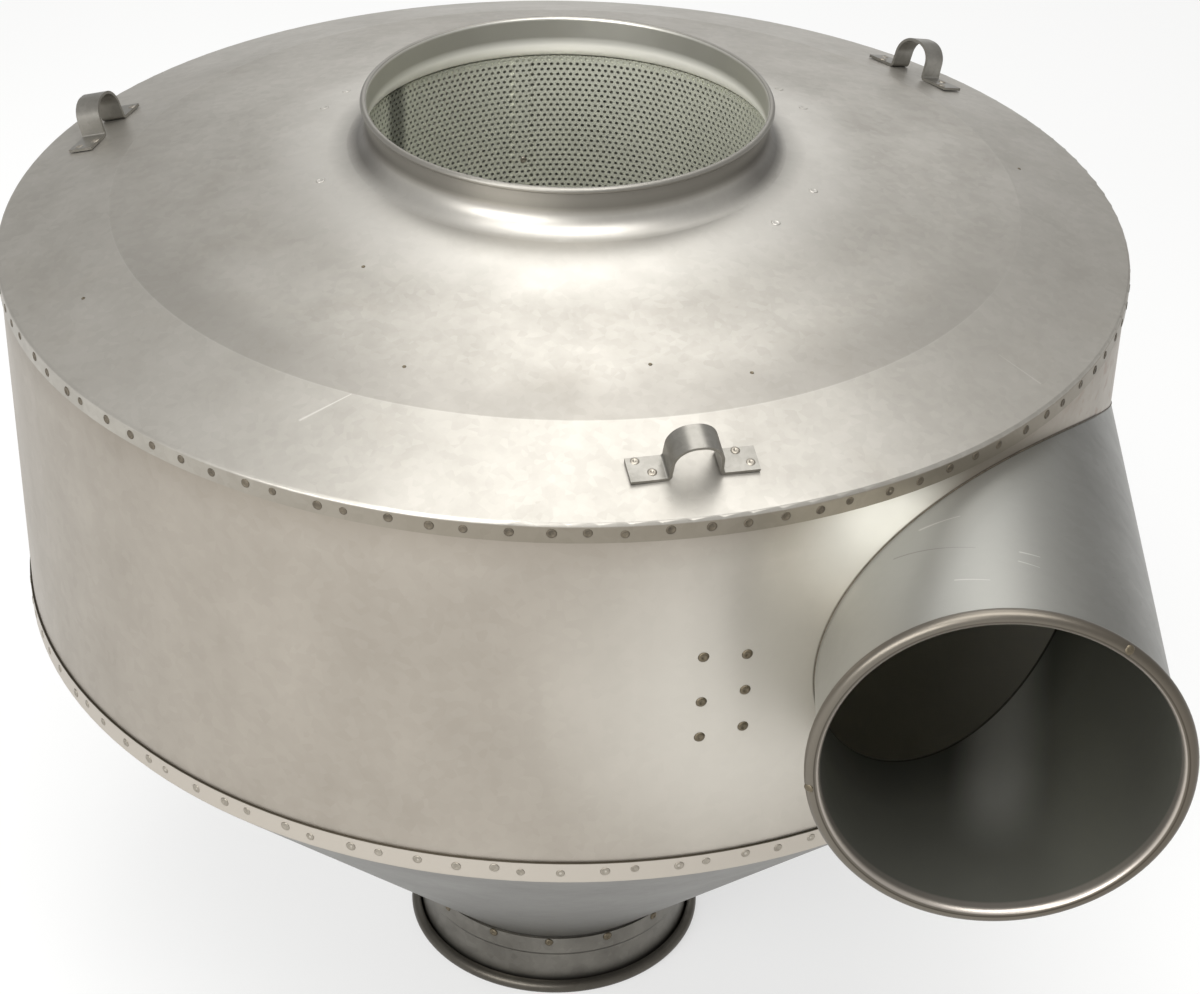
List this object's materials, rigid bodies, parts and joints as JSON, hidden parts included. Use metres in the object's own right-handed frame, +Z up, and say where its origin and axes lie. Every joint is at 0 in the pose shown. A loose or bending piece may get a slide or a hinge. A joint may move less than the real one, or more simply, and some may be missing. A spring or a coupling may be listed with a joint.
{
  "type": "cyclone separator",
  "caption": "Low, wide cyclone separator in bare galvanised sheet, with a side inlet pipe, a screened air outlet in the lid and a dust spout below.",
  "frame": {"origin": "on the axis of the dust spout's bore, level with the lower end of its straight wall, 3.8 mm above the rolled edge that the machine stands on", "axes": "+Z up the drum's axis to the air outlet; the air inlet points along -Y on the +X side"},
  "size_m": [0.5877, 0.6194, 0.5326],
  "materials": {
    "galvanised_sheet": "satin",
    "perforated_sheet": "satin",
    "zinc_strap": "satin"
  },
  "bodies": {
    "root": {"lid_rim": "galvanised_sheet", "lid_cone": "galvanised_sheet", "outlet_collar": "galvanised_sheet", "shell_right": "galvanised_sheet", "shell_back": "galvanised_sheet", "shell_left": "galvanised_sheet", "shell_front": "galvanised_sheet", "shell_inlet_panel": "galvanised_sheet", "cone_right": "galvanised_sheet", "cone_back": "galvanised_sheet", "cone_left": "galvanised_sheet", "cone_front": "galvanised_sheet", "dust_spout": "galvanised_sheet", "inlet_collar": "galvanised_sheet", "inlet_pipe": "galvanised_sheet", "screen_flange": "galvanised_sheet", "screen_floor": "galvanised_sheet", "screen_left": "perforated_sheet", "screen_front": "perforated_sheet", "screen_right": "perforated_sheet", "screen_lap": "perforated_sheet", "lug_front": "zinc_strap", "lug_right": "zinc_strap", "lug_left": "zinc_strap"}
  },
  "joints": []
}
